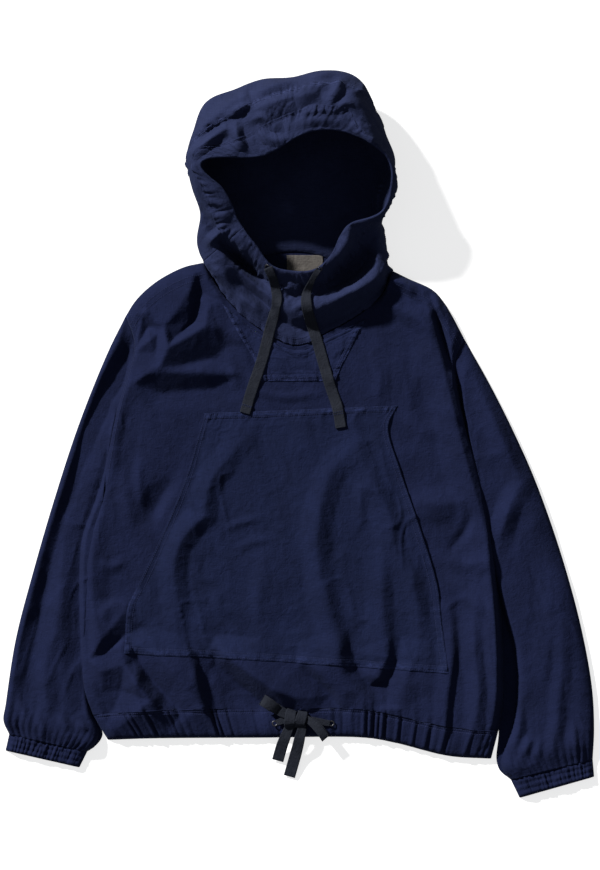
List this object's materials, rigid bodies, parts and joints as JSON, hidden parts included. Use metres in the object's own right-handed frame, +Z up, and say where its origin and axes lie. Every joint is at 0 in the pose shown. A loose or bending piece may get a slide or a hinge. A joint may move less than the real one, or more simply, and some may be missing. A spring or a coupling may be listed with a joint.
{
  "type": "pullover hoodie with a drawstring hood",
  "caption": "Thin cotton pullover anorak hoodie laid flat on its back: propped-open hood with tape drawcords, V insert, kangaroo pocket, gathered cuffs and a gathered hem tied in a bow.",
  "frame": {"origin": "on the surface the garment lies on, under the middle of its overall box", "axes": "+Z up out of the front of the garment, +Y from the hem to the crown of the hood, +X to the right as seen from above"},
  "size_m": [0.8134, 0.999, 0.1168],
  "materials": {
    "body_cloth": "matt plain-weave cotton with a faint sheen",
    "pocket_cloth": "matt plain-weave cotton",
    "label_cloth": "matt woven patch, blank",
    "tape": "matt flat woven cotton tape",
    "eyelet_metal": "satin"
  },
  "bodies": {
    "root": {"back_panel": "body_cloth", "front_panel": "body_cloth", "sleeve_left": "body_cloth", "sleeve_right": "body_cloth", "cuff_left": "body_cloth", "cuff_right": "body_cloth", "hem_casing": "body_cloth", "neck_insert": "body_cloth", "kangaroo_pocket": "pocket_cloth", "hood_back_panel": "body_cloth", "hood_front_panel": "body_cloth", "hood_rim_casing": "body_cloth", "neck_label": "label_cloth", "neck_tape_left": "tape", "neck_tape_right": "tape", "bow_knot": "tape", "bow_loop_left": "tape", "bow_loop_right": "tape", "bow_tail_left": "tape", "bow_tail_right": "tape", "neck_eyelet_left": "eyelet_metal", "neck_eyelet_right": "eyelet_metal", "hem_eyelet_left": "eyelet_metal", "hem_eyelet_right": "eyelet_metal"}
  },
  "joints": []
}
